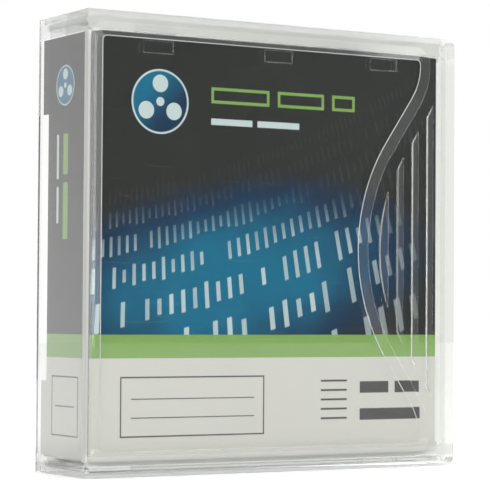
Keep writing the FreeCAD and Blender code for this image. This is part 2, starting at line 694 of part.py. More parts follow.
def make_reel():
    """The hub with its back flange, its drive teeth outside and its brake teeth inside."""
    body = new_body("reel_hub")
    spin(body, axis_x, axis_z, [
        (flange_back, dim.eye_r), (flange_back, flange_r), (flange_in, flange_r),
        (flange_in, dim.hub_r), (upper_in, dim.hub_r), (upper_in, hub_bore),
        (web_in, hub_bore), (web_in, dim.eye_r),
    ])
    tooth = extrude(body, "XZ_Plane", flange_back - dim.web_t / 2, flange_back + dim.tooth_high,
                    lambda d: d.wedge(tooth_in, tooth_out, dim.tooth_half),
                    shift=(axis_x, axis_z))
    polar(body, tooth, dim.teeth_count)
    key = extrude(body, "XZ_Plane", web_in - dim.key_high, web_in + dim.web_t / 2,
                  lambda d: d.wedge(dim.key_in, dim.key_out, dim.key_half), shift=(axis_x, axis_z))
    polar(body, key, dim.key_count)
    hole = cut(body, "XZ_Plane", web_in - dim.past, cart_back,
               lambda d: draw_leg(d, dim.leg_fit), shift=(axis_x, axis_z))
    polar(body, hole, dim.leg_count)


def make_upper_flange():
    """The front flange, a plain ring on the hub."""
    body = new_body("reel_flange")
    spin(body, axis_x, axis_z, [
        (upper_in, hub_bore), (upper_in, flange_r), (upper_out, flange_r), (upper_out, hub_bore),
    ])


def make_tape_pack():
    body = new_body("tape_pack")
    spin(body, axis_x, axis_z, [
        (tape_back, dim.hub_r), (tape_back, pack_r), (tape_front, pack_r), (tape_front, dim.hub_r),
    ])


def make_drive_plate():
    """The steel ring in the hub that a drive's magnet holds."""
    body = new_body("drive_plate")
    face = flange_back + dim.plate_t
    spin(body, axis_x, axis_z, [
        (flange_back, dim.eye_r), (flange_back, seat_r), (face, seat_r), (face, dim.eye_r),
    ])


def make_brake_button():
    """A flanged button that slides on the keyed post and locks the hub with its ring of teeth."""
    body = new_body("brake_button")
    spin(body, axis_x, axis_z, [
        (foot, 0), (foot, dim.key_out), (disc_back, dim.key_out), (disc_back, button_r),
        (disc_front, button_r), (disc_front, dim.sleeve_r),
        (disc_front - dim.sleeve_long, dim.sleeve_r), (disc_front - dim.sleeve_long, 0),
    ])
    tooth = extrude(body, "XZ_Plane", foot - dim.button_t / 2, web_in - dim.pin_fit,
                    lambda d: d.wedge(dim.key_in, dim.key_out, dim.key_half, as_size(180) / dim.key_count),
                    shift=(axis_x, axis_z))
    polar(body, tooth, dim.key_count)
    half, thin = dim.post_w / 2 + dim.post_fit, dim.post_t / 2 + dim.post_fit
    for wide, tall in ((half, thin), (thin, half)):
        cut(body, "XZ_Plane", skin_front, disc_front,
            lambda d: d.box(-wide, wide, -tall, tall), shift=(axis_x, axis_z))


def make_brake_spring():
    """The sleeve that a compression spring fills, from the upper shell to the button's flange."""
    body = new_body("brake_spring")
    half = dim.spring_wire / 2
    extrude(body, "XZ_Plane", skin_front, disc_front - dim.pin_fit,
            lambda d: d.circle(0, 0, dim.spring_r + half).circle(0, 0, dim.spring_r - half),
            shift=(axis_x, axis_z))


def make_release_pad():
    """A ring with three legs through the hub's web, which a drive pushes to lift the brake."""
    body = new_body("release_pad")
    high, ring_in = web_in - dim.ring_play, dim.key_out + dim.ring_gap
    spin(body, axis_x, axis_z, [
        (high, ring_in), (high, button_r), (high - dim.ring_t, button_r), (high - dim.ring_t, ring_in),
    ])
    leg = extrude(body, "XZ_Plane", high - dim.ring_t / 2, flange_back + dim.tooth_high,
                  lambda d: draw_leg(d, 0), shift=(axis_x, axis_z))
    polar(body, leg, dim.leg_count)


# ---------------------------------------------------------------- leader, door and small pieces

def make_leader_pin():
    body = new_body("leader_pin")
    low, high = skin_front + dim.lead_play, skin_back - dim.lead_play
    big, thin, t = dim.lead_flange_r, dim.lead_r, dim.lead_flange_t
    spin(body, pin_x, pin_z, [
        (low, 0), (low, big), (low + t, big), (low + t, thin),
        (high - t, thin), (high - t, big), (high, big), (high, 0),
    ])


def make_pin_clip():
    """The clip that clamps the leader round its pin, open towards the reel."""
    body = new_body("pin_clip")
    near = dim.lead_r + dim.leader_t + dim.pin_fit
    far = near + dim.clip_t
    extrude(body, "XZ_Plane", tape_front, tape_back, lambda d: d.outline([
        (0, near, 0, 0, near, -1), (0, -near), (0, -far, 0, 0, far, 1), (0, far),
    ]), shift=(pin_x, pin_z))


def make_pin_spring():
    """A leaf spring whose two ends press the pin's flanges into their seats."""
    body = new_body("pin_spring")
    x = pin_x - dim.lead_flange_r - dim.lead_play - dim.seat_t
    t, half, wide = dim.leaf_t, dim.lead_flange_r, dim.seat_t
    low, high = skin_front + dim.seat_high + dim.leaf_play, skin_back - dim.seat_high - dim.leaf_play
    extrude(body, "XZ_Plane", low, high, lambda d: d.box(x - t, x, pin_z - dim.leaf_low, pin_z + half))
    cut(body, "YZ_Plane", x - dim.past, x + dim.past,
        lambda d: d.box(low + wide, high - wide, pin_z - dim.leaf_notch, pin_z + half + dim.past))
    for start in (low, high - wide):
        extrude(body, "XZ_Plane", start, start + wide,
                lambda d: d.box(x - t, pin_x - dim.lead_r - dim.lead_play, pin_z + half - t, pin_z + half))


def make_leader_tape():
    """The leader: straight from the top of the pack to the pin, and round the pin."""
    thick = dim.leader_t.value
    reel, pin = Vector(axis_x.value, 0, axis_z.value), Vector(pin_x.value, 0, pin_z.value)
    reel_r, pin_r = pack_r.value + dim.tape_gap.value, dim.lead_r.value
    apart = pin.sub(reel)
    heading = math.atan2(apart.z, apart.x) + math.acos((reel_r - pin_r) / apart.Length)
    out = Vector(math.cos(heading), 0, math.sin(heading))

    def round_pin(radius):
        return [pin + Vector(math.cos(heading - turn), 0, math.sin(heading - turn)) * radius
                for turn in (0, math.pi / 2, math.pi)]

    inner, outer = round_pin(pin_r), round_pin(pin_r + thick)
    start_in, start_out = reel + out * reel_r, reel + out * (reel_r + thick)
    edges = [
        Part.LineSegment(start_in, inner[0]), Part.Arc(*inner), Part.LineSegment(inner[2], outer[2]),
        Part.Arc(*outer[::-1]), Part.LineSegment(outer[0], start_out), Part.LineSegment(start_out, start_in),
    ]
    face = Part.Face(Part.Wire([edge.toShape() for edge in edges]))
    face.translate(Vector(0, tape_front.value, 0))
    leader = doc.addObject("Part::Feature", "leader_tape")
    leader.Label = "leader_tape"
    leader.Shape = face.extrude(Vector(0, tape_back.value - tape_front.value, 0))
    leader.Placement = Placement()
    nodes.append(leader)


def make_door():
    """A thin sliding plate with a groove across its face and a lug for its spring."""
    body = new_body("tape_door")
    gap, groove = dim.door_gap, door_low + dim.groove_at
    extrude(body, "YZ_Plane", door_in, door_out,
            lambda d: d.box(skin_front + gap, skin_back - gap, door_foot, door_high + dim.door_lap))
    extrude(body, "XZ_Plane", cart_split - dim.lug_w / 2, cart_split + dim.lug_w / 2,
            lambda d: d.box(coil_x - dim.coil_r, door_out, door_foot, door_foot + dim.lug_t))
    cut(body, "XZ_Plane", skin_front + dim.skin, skin_back - dim.skin,
        lambda d: d.box(door_out - dim.groove_deep, door_out + dim.past, groove, groove + dim.groove_w))


def make_door_spring():
    """The sleeve that the door's spring fills, from its seat to the door's lug."""
    body = new_body("door_spring")
    half = dim.coil_wire / 2
    extrude(body, "XY_Plane", spring_seat, door_foot - dim.pin_fit,
            lambda d: d.circle(coil_x, cart_split, dim.coil_r + half)
                       .circle(coil_x, cart_split, dim.coil_r - half))


def make_write_tab():
    body = new_body("write_protect_tab")
    gap = dim.door_gap
    extrude(body, "XY_Plane", guard_low, guard_low + dim.guard_t,
            lambda d: d.box(guard_left, guard_left + dim.guard_w, cart_split + gap, skin_back - gap))
    extrude(body, "XY_Plane", cart_low + dim.label_deep, guard_low + dim.guard_t / 2,
            lambda d: d.box(nub_left, nub_left + dim.guard_nub,
                            cart_split + dim.guard_deep, skin_back - dim.guard_deep))


def make_chip():
    body = new_body("memory_chip")
    extrude(body, "XZ_Plane", skin_back - dim.chip_h, skin_back,
            lambda d: d.box(-dim.chip_w / 2, dim.chip_w / 2,
                            -chip_at - dim.chip_t / 2, -chip_at + dim.chip_t / 2),
            shift=(axis_x, axis_z), turned=-45)


def check_and_write():
    """Stop at any object that failed, then write each sub-part."""
    for thing in doc.Objects:
        if "Invalid" in thing.State or "Error" in thing.State:
            raise ValueError(f"{thing.Name} is {thing.State}")
    os.makedirs("parts", exist_ok=True)
    for node in nodes:
        if node.Shape.isNull() or not node.Shape.isValid():
            raise ValueError(f"{node.Label} has no valid shape")
        print(f"{node.Label:18s} {len(node.Shape.Solids)} {node.Shape.Volume:9.1f} mm3")
        node.Shape.exportStep(f"parts/{node.Label}.step")


for make in (make_cover, make_base, make_card, make_upper_shell, make_lower_shell, make_screws,
             make_reel, make_upper_flange, make_tape_pack, make_drive_plate, make_brake_button,
             make_brake_spring, make_release_pad, make_leader_pin, make_pin_clip, make_pin_spring,
             make_leader_tape, make_door, make_door_spring, make_write_tab, make_chip):
    make()
doc.recompute()
check_and_write()
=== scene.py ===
import json
import math

import bmesh
import bpy
import numpy as np
from bpy.props import FloatProperty, FloatVectorProperty, IntProperty, PointerProperty
from bpy.types import Operator, Panel, PropertyGroup
from mathutils import Matrix, Vector


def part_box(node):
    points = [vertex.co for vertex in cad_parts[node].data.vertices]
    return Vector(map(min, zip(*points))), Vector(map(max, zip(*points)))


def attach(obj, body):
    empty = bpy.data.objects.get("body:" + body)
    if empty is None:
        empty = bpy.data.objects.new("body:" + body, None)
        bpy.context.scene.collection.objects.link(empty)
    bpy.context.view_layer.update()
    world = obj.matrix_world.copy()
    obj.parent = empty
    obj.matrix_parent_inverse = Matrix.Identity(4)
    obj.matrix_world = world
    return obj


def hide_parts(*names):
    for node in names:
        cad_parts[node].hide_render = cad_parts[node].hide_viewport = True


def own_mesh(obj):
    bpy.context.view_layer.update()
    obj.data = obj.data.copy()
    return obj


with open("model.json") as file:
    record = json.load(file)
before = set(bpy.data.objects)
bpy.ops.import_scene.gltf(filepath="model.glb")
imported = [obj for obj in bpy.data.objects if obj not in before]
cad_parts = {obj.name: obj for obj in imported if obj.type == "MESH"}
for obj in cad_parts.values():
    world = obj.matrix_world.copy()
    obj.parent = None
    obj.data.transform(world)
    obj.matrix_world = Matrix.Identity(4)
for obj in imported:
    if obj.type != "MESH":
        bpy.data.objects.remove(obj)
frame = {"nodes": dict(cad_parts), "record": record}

bl_info = {
    "name": "Cased Tape Cartridge",
    "version": (1, 0, 0),
    "blender": (4, 5, 0),
    "location": "View3D > Sidebar > Cartridge",
    "description": "Dresses a data tape cartridge in its clear case, with its card, reel and stage",
    "category": "Object",
}

MM = 0.001

WELD = 2e-6  # metres within which a moulding's loose corners are joined
WIRE_SIDES = 8  # sides of a spring wire's section
# The edge lines are pale rods, painted highlights along the case's edges.
ROD_SIDES = 5  # sides of an edge line's section


# ---------------------------------------------------------------- places, in millimetres

# Printed marks as left, right, low and high. On the spine left and right run along Y.
TITLE_BOXES = tuple((left, right, 92.4, 96.4) for left, right in ((-20.0, -3.0), (-0.5, 13.5), (16.0, 23.0)))
SUBTITLE_BARS = ((-20.0, -8.0, 87.0, 88.6), (-6.5, 6.0, 87.0, 88.6))
FORM_BOX = (-45.0, -4.0, 9.6, 24.4)
FORM_LINES = tuple((-42.0, -7.0, low, low + 0.25) for low in (14.2, 18.8))
INK_BLOCKS = ((25.0, 34.0, 19.6, 22.6), (36.0, 44.0, 19.6, 22.6), (25.0, 44.0, 12.6, 15.6))
INK_TICKS = tuple((13.0, 21.0, low, low + 0.5) for low in (13.0, 15.4, 17.8, 20.2, 22.6))
SPINE_GREEN_BARS = ((-1.4, 1.2, 58.0, 72.0), (-1.4, 1.2, 74.0, 84.0))
SPINE_LIGHT_BARS = ((3.6, 4.8, 62.0, 71.0), (3.6, 4.8, 73.0, 84.0))
SPINE_BOX = (-8.0, 6.5, 9.6, 24.4)
SPINE_LINES = ((-6.0, 4.5, 16.8, 17.1),)

# Pictograms as middle across, middle up and radius.
FRONT_REEL = (-34.5, 92.0, 8.0)
SPINE_REEL = (0.4, 96.0, 5.0)


# ---------------------------------------------------------------- sizes and colours

def colour(name, default, description):
    return FloatVectorProperty(
        name=name, description=description, subtype="COLOR", size=3, min=0.0, max=1.0, default=default)


def length(name, default, description):
    return FloatProperty(
        name=name, description=description, subtype="DISTANCE", unit="LENGTH", default=default * MM)


class CaseLooks(PropertyGroup):
    edge: length("Edge round", 0.35, "Radius of the rounding along the mouldings' edges")
    tint: colour("Clear plastic", (0.962, 0.967, 0.953), "Tint of light that passes a wall")
    # pale is painted light: the matt colour laid on the thick corner and the front's rims, and on the painted
    # highlight rods
    pale: colour("Pale edges", (0.74, 0.75, 0.72), "Thick corners and polished edges, which carry light")
    haze: FloatProperty(name="Haze", description="Roughness of the clear plastic", default=0.02)
    straight: FloatProperty(
        name="Straight light", description="Share of light that passes a face without a turn", default=0.5)


class CardLooks(PropertyGroup):
    charcoal: colour("Charcoal", (0.020, 0.022, 0.021), "Field at the top of the card")
    navy: colour("Navy", (0.002, 0.032, 0.085), "Outer part of the blue glow")
    blue: colour("Blue", (0.001, 0.160, 0.290), "Middle of the blue glow")
    green: colour("Green", (0.240, 0.430, 0.110), "Band across the card")
    pale: colour("Pale grey", (0.690, 0.680, 0.645), "Field at the foot of the card")
    light: colour("Light marks", (0.620, 0.740, 0.760), "Strokes, bars and pictograms")
    ink: colour("Dark ink", (0.025, 0.025, 0.027), "Lines on the pale field, and dust")
    inside: colour("Inside", (0.80, 0.80, 0.78), "Unprinted inner side of the card")
    band_low: length("Green from", 28.9, "Height of the green band's lower edge")
    band_high: length("Green to", 34.65, "Height of the green band's upper edge")


class CartridgeLooks(PropertyGroup):
    shell: colour("Shell", (0.012, 0.012, 0.013), "Moulded halves of the cartridge")
    reel: colour("Reel", (0.70, 0.70, 0.66), "Hub and flanges")
    tape: colour("Tape", (0.018, 0.014, 0.012), "Edge of the wound tape")
    brake: colour("Brake", (0.02, 0.10, 0.33), "Brake button and release pad")
    tab: colour("Write tab", (0.50, 0.012, 0.008), "Write-protect tab")
    board: colour("Chip board", (0.004, 0.035, 0.015), "Memory chip's board")
    steel: colour("Steel", (0.50, 0.50, 0.51), "Pin, screws, springs and drive plate")
    turns: IntProperty(name="Door spring turns", description="Turns of the door's spring", default=15)
    brake_turns: IntProperty(name="Brake spring turns", description="Turns of the brake's spring", default=5)


class StageLooks(PropertyGroup):
    floor: colour("Floor", (0.93, 0.93, 0.93), "Pale floor")
    floor_light: colour("Floor highlights", (0.95, 0.95, 0.945), "Lighter patches of the floor")
    key: FloatProperty(name="Key light", description="Power of the front softbox", unit="POWER", default=4.0)
    fill: FloatProperty(name="Fill light", description="Power of the left softbox", unit="POWER", default=0.3)
    lens: FloatProperty(name="Lens", description="Focal length in millimetres", default=157.3)
    camera: FloatVectorProperty(
        name="Camera", description="Place of the camera", subtype="TRANSLATION", unit="LENGTH", size=3,
        default=(-0.28673, -0.47429, 0.04019))
    heading: FloatProperty(
        name="Heading", description="Turn of the view from straight back", subtype="ANGLE",
        default=math.radians(-30.95))
    pitch: FloatProperty(
        name="Pitch", description="Upward tilt of the view", subtype="ANGLE", default=math.radians(1.81))
    roll: FloatProperty(
        name="Roll", description="Turn of the view about its axis", subtype="ANGLE",
        default=math.radians(-0.37))


# ---------------------------------------------------------------- shader helpers

class Graph:
    """Short ways to add and link nodes in a material's or a group's tree."""

    def __init__(self, tree):
        self.tree = tree

    def add(self, kind, **settings):
        node = self.tree.nodes.new(kind)
        for name, value in settings.items():
            setattr(node, name, value)
        return node

    def feed(self, socket, value):
        """Link an output, or set a constant, on an input socket."""
        if isinstance(value, bpy.types.NodeSocket):
            self.tree.links.new(value, socket)
        elif value is not None:
            socket.default_value = value

    def math(self, operation, first, second=None, third=None, clamp=False):
        node = self.add("ShaderNodeMath", operation=operation, use_clamp=clamp)
        for socket, value in zip(node.inputs, (first, second, third)):
            self.feed(socket, value)
        return node.outputs[0]

    def ramp(self, value, low, high):
        """0 below low and 1 above high, with an eased passage between; low may be the higher one."""
        node = self.add("ShaderNodeMapRange", interpolation_type="SMOOTHSTEP")
        flip = low > high
        for name, number in (("Value", value), ("From Min", min(low, high)), ("From Max", max(low, high)),
                             ("To Min", float(flip)), ("To Max", float(not flip))):
            self.feed(node.inputs[name], number)
        return node.outputs["Result"]

    def within(self, value, low, high, soft=0.12):
        """1 from low to high and 0 outside, each side passing over twice soft."""
        return self.math("MULTIPLY", self.ramp(value, low - soft, low + soft),
                         self.ramp(value, high + soft, high - soft))

    def both(self, *masks):
        mask = masks[0]
        for other in masks[1:]:
            mask = self.math("MULTIPLY", mask, other)
        return mask

    def either(self, *masks):
        mask = masks[0]
        for other in masks[1:]:
            mask = self.math("MAXIMUM", mask, other)
        return mask

    def rest_of(self, share):
        """What a share leaves of one."""
        return self.math("SUBTRACT", 1.0, share)

    def squares(self, across, up):
        return self.math("ADD", self.math("POWER", across, 2.0), self.math("POWER", up, 2.0))

    def distance(self, across, up):
        """The length of a way across and up: the root of the sum of their squares."""
        return self.math("SQRT", self.squares(across, up))

    def blend(self, mask, under, over):
        """The colour under where the mask is 0, and the colour over where it is 1."""
        node = self.add("ShaderNodeMix", data_type="RGBA")
        for name, value in (("Factor_Float", mask), ("A_Color", under), ("B_Color", over)):
            socket = next(item for item in node.inputs if item.identifier == name)
            is_colour = name != "Factor_Float" and not isinstance(value, bpy.types.NodeSocket)
            self.feed(socket, (*value[:3], 1.0) if is_colour else value)
        return next(item for item in node.outputs if item.identifier == "Result_Color")

    def layer(self, mask, under, over):
        """The shader under where the mask is 0, and the shader over where it is 1."""
        node = self.add("ShaderNodeMixShader")
        for socket, value in zip(node.inputs, (mask, under, over)):
            self.feed(socket, value)
        return node.outputs[0]

    def place(self):
        """Object coordinates in millimetres, as one vector and as separate X, Y and Z."""
        scaled_place = self.add("ShaderNodeVectorMath", operation="SCALE")
        self.feed(scaled_place.inputs[0], self.add("ShaderNodeTexCoord").outputs["Object"])
        scaled_place.inputs["Scale"].default_value = 1 / MM
        return scaled_place.outputs[0], self.parts(scaled_place.outputs[0])

    def parts(self, vector):
        node = self.add("ShaderNodeSeparateXYZ")
        self.feed(node.inputs[0], vector)
        return tuple(node.outputs)

    def noise(self, vector, scale, detail):
        node = self.add("ShaderNodeTexNoise")
        self.feed(node.inputs["Vector"], vector)
        node.inputs["Scale"].default_value = scale
        node.inputs["Detail"].default_value = detail
        return node.outputs[0]

    def mirrored(self, path):
        """1 for a ray that a surface mirrors, and 0 for one that comes through the clear plastic."""
        return self.math("MULTIPLY", path["Is Glossy Ray"], self.rest_of(path["Is Transmission Ray"]))


def scaled(shade, share):
    """A colour made darker or lighter by a share of itself."""
    return tuple(part * share for part in shade)


def handling_marks(graph, place):
    """Faint smears and short fine scratches, as two masks from 0 to 1."""
    smear = graph.ramp(graph.noise(place, 0.05, 4.0), 0.45, 0.75)
    stretched = graph.add("ShaderNodeVectorMath", operation="MULTIPLY")
    graph.feed(stretched.inputs[0], place)
    stretched.inputs[1].default_value = (0.05, 0.6, 1.6)
    scratch = graph.ramp(graph.noise(stretched.outputs[0], 1.0, 1.0), 0.70, 0.74)
    return smear, scratch


def mould_grain(graph, place):
    """The fine spark texture of a moulded face, and its slow change of gloss."""
    return graph.noise(place, 3.2, 3.0), graph.ramp(graph.noise(place, 0.09, 3.0), 0.35, 0.7)


# A shared group's name, its outputs and the function that builds it.
HANDLING = ("Handling marks", ("Smear", "Scratch"), handling_marks)
GRAIN = ("Mould grain", ("Grain", "Gloss"), mould_grain)


def shared_masks(graph, place, name, outputs, build):
    """The masks of a shared group that takes a vector in millimetres; it is built on its first use."""
    group = bpy.data.node_groups.get(name)
    if not group:
        group = bpy.data.node_groups.new(name, "ShaderNodeTree")
        group.interface.new_socket("Place", in_out="INPUT", socket_type="NodeSocketVector")
        for output in outputs:
            group.interface.new_socket(output, in_out="OUTPUT", socket_type="NodeSocketFloat")
        inner = Graph(group)
        start = inner.add("NodeGroupInput").outputs["Place"]
        end = inner.add("NodeGroupOutput")
        for output, value in zip(outputs, build(inner, start)):
            inner.feed(end.inputs[output], value)
    node = graph.add("ShaderNodeGroup", node_tree=group)
    graph.feed(node.inputs["Place"], place)
    return node.outputs


def new_material(name):
    material = bpy.data.materials.new(name)
    material.use_nodes = True
    graph = Graph(material.node_tree)
    shader = next(node for node in material.node_tree.nodes if node.type == "BSDF_PRINCIPLED")
    return material, graph, shader


def bump(graph, shader, height, distance):
    """Bump of the given depth in millimetres."""
    node = graph.add("ShaderNodeBump")
    node.inputs["Distance"].default_value = distance * MM
    graph.feed(node.inputs["Height"], height)
    graph.feed(shader.inputs["Normal"], node.outputs["Normal"])


# ---------------------------------------------------------------- materials

def case_zones(graph, x, y, z):
    """Masks over the clear case.

    inboard is all but the right-hand wall, top and bottom are the end walls, and card is where a face
    has the card close behind it. corner and fold are the outer and inner parts of the thick upright
    corner, and foot and brow are the bands along the front's lower and upper rims."""
    corner_height = graph.within(z, 3.9, 108.3)
    inboard = graph.ramp(x, 50.4, 49.4)
    front = graph.ramp(y, -12.9, -13.1)
    card_front = graph.both(graph.within(x, -52.9, 49.3), graph.ramp(y, -11.0, -11.2))
    card_spine = graph.ramp(x, -52.7, -52.8)
    return {
        "inboard": inboard,
        "top": graph.ramp(z, 108.4, 108.6),
        "bottom": graph.ramp(z, 2.6, 2.4),
        "card": graph.both(graph.either(card_front, card_spine), graph.within(z, 4.6, 108.3)),
        "corner": graph.both(graph.ramp(x, -53.9, -54.2), graph.ramp(y, -11.2, -11.7), corner_height),
        "fold": graph.both(graph.ramp(x, -53.1, -53.4), graph.ramp(y, -13.0, -13.2), corner_height),
        "foot": graph.both(front, graph.within(z, 2.9, 5.6, 0.5)),
        "brow": graph.both(front, graph.ramp(z, 108.4, 109.0), inboard),
    }


def clear_plastic(looks):
    """Glossy clear moulding that lets light rays pass, with faint handling marks.

    Off the card a share of the light goes straight through, which keeps the thick rims pale. The thick
    corner and the front's rims are partly a pale matt surface, painted light that stands for the light
    they carry along the wall."""
    plastic_ior = 1.49
    material, graph, shader = new_material("clear moulding")
    place, (x, y, z) = graph.place()
    zones = case_zones(graph, x, y, z)

    marks = shared_masks(graph, place, *HANDLING)
    shader.inputs["Base Color"].default_value = (*looks.tint, 1.0)
    shader.inputs["Transmission Weight"].default_value = 1.0
    shader.inputs["IOR"].default_value = plastic_ior
    rough = graph.math("MULTIPLY_ADD", marks["Smear"], 0.05, looks.haze)
    graph.feed(shader.inputs["Roughness"], graph.math("MULTIPLY_ADD", marks["Scratch"], 0.10, rough))
    rounding = graph.add("ShaderNodeBevel", samples=6)
    rounding.inputs["Radius"].default_value = looks.edge
    graph.feed(shader.inputs["Normal"], rounding.outputs["Normal"])

    clear = graph.add("ShaderNodeBsdfTransparent")
    through = looks.tint
    for wall, dimming in (("top", 0.88), ("bottom", 0.74)):
        end_wall = graph.both(zones[wall], zones["inboard"])
        through = graph.blend(end_wall, through, scaled(looks.tint, dimming))
    graph.feed(clear.inputs["Color"], through)

    share = looks.straight
    right_wall, underside = graph.ramp(x, 49.4, 50.6), graph.ramp(z, 2.6, 2.0)
    for mask, change in ((right_wall, 0.38), (underside, -0.35), (zones["top"], -0.12)):
        share = graph.math("MULTIPLY_ADD", mask, change, share)
    straight = graph.math("MULTIPLY", graph.rest_of(zones["card"]), share)
    straight = graph.either(straight, graph.math("MULTIPLY", zones["fold"], 0.85))
    path = graph.add("ShaderNodeLightPath").outputs
    passing = graph.either(path["Is Shadow Ray"], path["Is Diffuse Ray"], straight)
    wall = graph.layer(passing, shader.outputs[0], clear.outputs[0])

    # painted light: a pale matt layer over the thick corner and the front's rims, standing for the light they
    # carry along the wall
    painted_edge_light = graph.add("ShaderNodeBsdfDiffuse")
    painted_edge_light.inputs["Color"].default_value = (*looks.pale, 1.0)
    painted_light_zones = (("corner", 0.8), ("fold", 0.28), ("foot", 0.5), ("brow", 0.35))
    painted_light_share = graph.either(*(graph.math("MULTIPLY", zones[zone], strength) for zone, strength in painted_light_zones))
    output = next(node for node in material.node_tree.nodes if node.type == "OUTPUT_MATERIAL")
    graph.feed(output.inputs["Surface"], graph.layer(painted_light_share, wall, painted_edge_light.outputs[0]))
    return material


def moulded(name, shade, rough, grain):
    """Opaque moulded plastic with a fine spark texture, whose grain is its depth in millimetres."""
    material, graph, shader = new_material(name)
    place, _ = graph.place()
    masks = shared_masks(graph, place, *GRAIN)
    graph.feed(shader.inputs["Base Color"], graph.blend(masks["Gloss"], shade, scaled(shade, 0.86)))
    graph.feed(shader.inputs["Roughness"], graph.math("MULTIPLY_ADD", masks["Gloss"], 0.08, rough))
    bump(graph, shader, masks["Grain"], grain)
    return material


def steel(name, shade, rough):
    """Drawn or ground steel with fine brushing."""
    material, graph, shader = new_material(name)
    place, _ = graph.place()
    masks = shared_masks(graph, place, *HANDLING)
    shader.inputs["Metallic"].default_value = 1.0
    graph.feed(shader.inputs["Base Color"], graph.blend(masks["Smear"], shade, scaled(shade, 0.8)))
    graph.feed(shader.inputs["Roughness"], graph.math("MULTIPLY_ADD", masks["Scratch"], 0.15, rough))
    return material


def screw_steel(shade, node):
    """Screw steel with a cross cut into the middle of each of the four heads, as a bump, darkened with
    painted shade.
    """
    arm, side, depth = (1.0, 0.9), (0.25, 0.18), 0.3  # from uncut to cut, along an arm and across it
    material, graph, shader = new_material("screws")
    place, (x, y, z) = graph.place()
    masks = shared_masks(graph, place, *HANDLING)
    points = np.array([vertex.co for vertex in frame["nodes"][node].data.vertices]) / MM
    low, high = points.min(0), points.max(0)
    on_left, is_upper = points[:, 0] < 0, points[:, 2] > (low[2] + high[2]) / 2
    crosses = []
    for left in (True, False):
        for upper in (True, False):
            head = points[(on_left == left) & (is_upper == upper)]
            across, _, up = (head.min(0) + head.max(0)) / 2
            dx = graph.math("ABSOLUTE", graph.math("SUBTRACT", x, float(across)))
            dz = graph.math("ABSOLUTE", graph.math("SUBTRACT", z, float(up)))
            longer, shorter = graph.math("MAXIMUM", dx, dz), graph.math("MINIMUM", dx, dz)
            crosses.append(graph.both(graph.ramp(longer, *arm), graph.ramp(shorter, *side)))
    face = graph.ramp(y, float(high[1]) - 0.1, float(high[1]) - 0.05)
    cut = graph.both(graph.either(*crosses), face)
    shader.inputs["Metallic"].default_value = 1.0
    # painted shade: the cross is darkened, standing for the shade in its recess
    graph.feed(shader.inputs["Base Color"], graph.blend(cut, shade, scaled(shade, 0.12)))
    graph.feed(shader.inputs["Roughness"], graph.math("MULTIPLY_ADD", masks["Scratch"], 0.15, 0.24))
    bump(graph, shader, graph.math("MULTIPLY", cut, -1.0), depth)
    return material


def wound_tape(shade, centre):
    """The edge of a wound pack: fine rings about the reel's axis, some standing a little proud and lighter
    with painted sheen.
    """
    material, graph, shader = new_material("wound tape")
    _, (x, _, z) = graph.place()
    line = graph.add("ShaderNodeTexNoise", noise_dimensions="1D")
    graph.feed(line.inputs["W"], graph.distance(graph.math("SUBTRACT", x, centre[0] / MM),
                                                graph.math("SUBTRACT", z, centre[2] / MM)))
    line.inputs["Scale"].default_value = 2.4
    line.inputs["Detail"].default_value = 6.0
    ring = line.outputs[0]
    painted_sheen_rings = graph.ramp(ring, 0.4, 0.7)
    # painted sheen: the proud rings are made lighter
    graph.feed(shader.inputs["Base Color"], graph.blend(painted_sheen_rings, shade, scaled(shade, 2.2)))
    graph.feed(shader.inputs["Roughness"], graph.math("MULTIPLY_ADD", ring, 0.2, 0.2))
    bump(graph, shader, ring, 0.05)
    return material


# ---------------------------------------------------------------- the card's print

def bars(graph, across, up, places):
    """Filled boxes, as one mask."""
    return graph.either(*(graph.both(graph.within(across, left, right), graph.within(up, low, high))
                          for left, right, low, high in places))


def outlines(graph, across, up, places, line):
    """The boxes' outlines, as wide as line inside them, as one mask."""
    inner = tuple((left + line, right - line, low + line, high - line) for left, right, low, high in places)
    return graph.math("SUBTRACT", bars(graph, across, up, places), bars(graph, across, up, inner), clamp=True)


def reel_pictogram(graph, across, up, radius):
    """A tape reel as two masks: its disc, and its rim, hub and three round windows."""
    def dot(out, size, soft=0.1):
        return graph.ramp(out, size + soft, size - soft)

    out = graph.distance(across, up)
    disc = dot(out, radius, 0.12)
    holes = [dot(out, radius * 0.14)]
    for turn in (90, 210, 330):
        x, z = radius * 0.56 * math.cos(math.radians(turn)), radius * 0.56 * math.sin(math.radians(turn))
        window = graph.distance(graph.math("SUBTRACT", across, x), graph.math("SUBTRACT", up, z))
        holes.append(dot(window, radius * 0.27))
    rim = graph.both(disc, graph.ramp(out, radius * 0.94 - 0.1, radius * 0.94 + 0.1))
    return disc, graph.either(rim, *holes)


